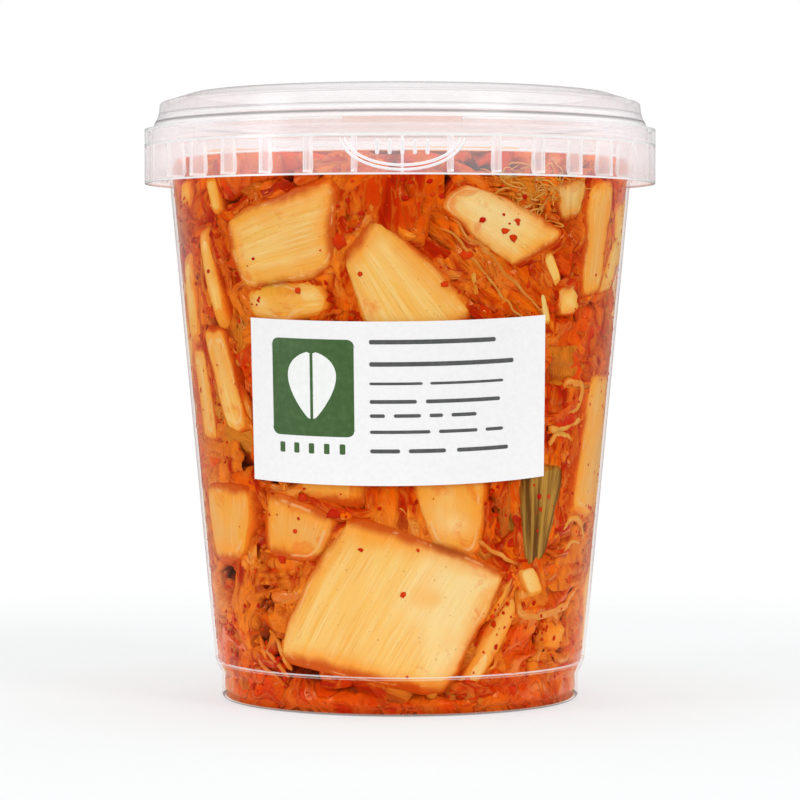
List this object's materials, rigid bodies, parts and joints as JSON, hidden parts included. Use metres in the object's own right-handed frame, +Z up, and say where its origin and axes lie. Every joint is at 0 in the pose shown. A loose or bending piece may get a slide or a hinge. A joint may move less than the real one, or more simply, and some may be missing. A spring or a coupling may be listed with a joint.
{
  "type": "kimchi jar",
  "caption": "Clear round tapered plastic tub of cabbage kimchi, with a tamper-evident collar and tab, a clear press-on lid and a white paper label.",
  "frame": {"origin": "centre of the ring that the tub stands on", "axes": "+Z up along the tub's axis, -Y towards the label and the tear-off tab, +X to the right seen from the label"},
  "size_m": [0.118, 0.1186, 0.1393],
  "materials": {
    "tub_plastic": "clear, glossy polypropylene",
    "lid_plastic": "clear, glossy polypropylene",
    "label_paper": "smooth matt paper, printed",
    "kimchi": "wet cabbage in red chili brine"
  },
  "bodies": {
    "root": {"tub": "tub_plastic", "lid": "lid_plastic", "label": "label_paper", "kimchi": "kimchi"}
  },
  "joints": []
}
